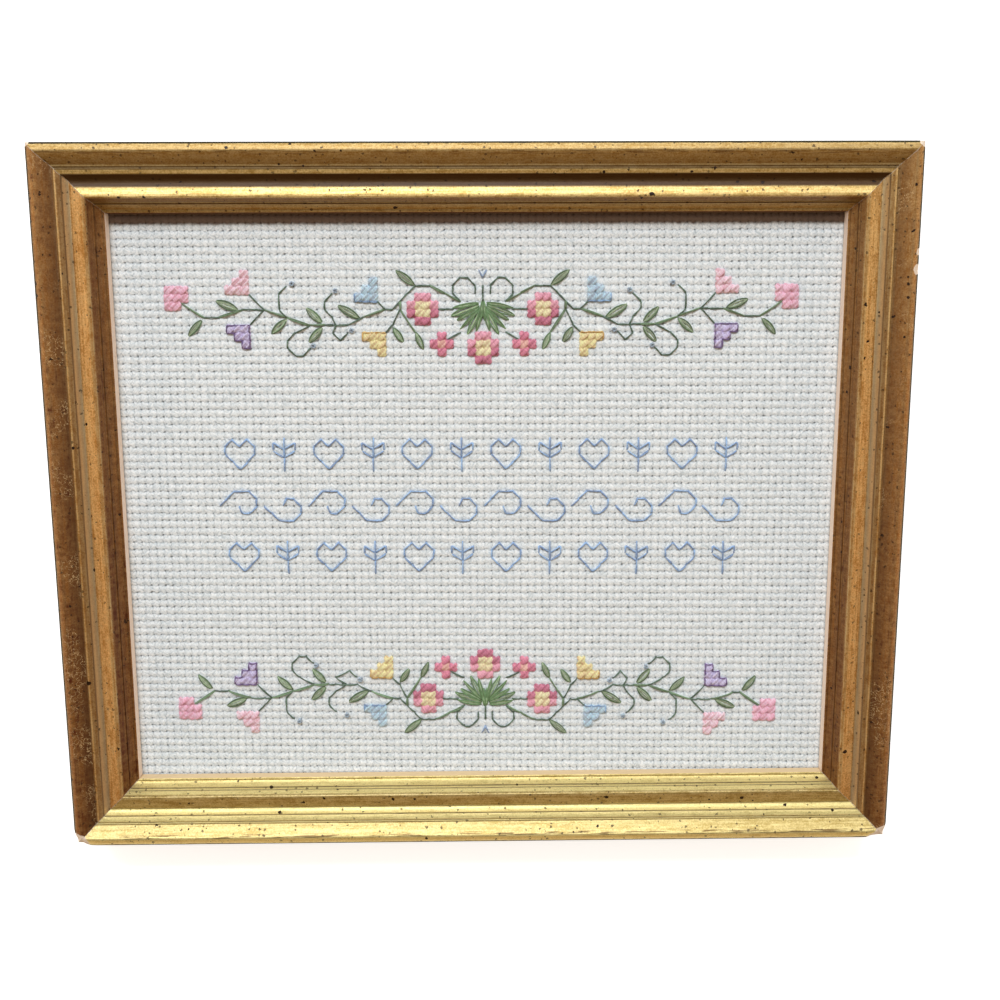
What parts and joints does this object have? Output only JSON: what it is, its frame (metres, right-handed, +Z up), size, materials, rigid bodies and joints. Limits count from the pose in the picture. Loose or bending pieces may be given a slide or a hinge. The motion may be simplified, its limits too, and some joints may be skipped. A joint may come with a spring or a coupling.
{
  "type": "framed embroidered cloth sign with wooden picture frame",
  "caption": "Small counted-thread embroidered cloth sign stretched over a board in a gilt moulded wooden frame.",
  "frame": {"origin": "middle of the frame's back, on the surface that the sign lies on", "axes": "+X along the longer side, +Y towards the top of the sign, +Z up out of its face"},
  "size_m": [0.2054, 0.171, 0.0159],
  "materials": {
    "gilt_moulding": "satin",
    "white_cloth": "matte",
    "mounting_board": "matte"
  },
  "bodies": {
    "root": {"rail_top": "gilt_moulding", "rail_left": "gilt_moulding", "rail_bottom": "gilt_moulding", "rail_right": "gilt_moulding", "cloth": "white_cloth", "board": "mounting_board"}
  },
  "joints": []
}
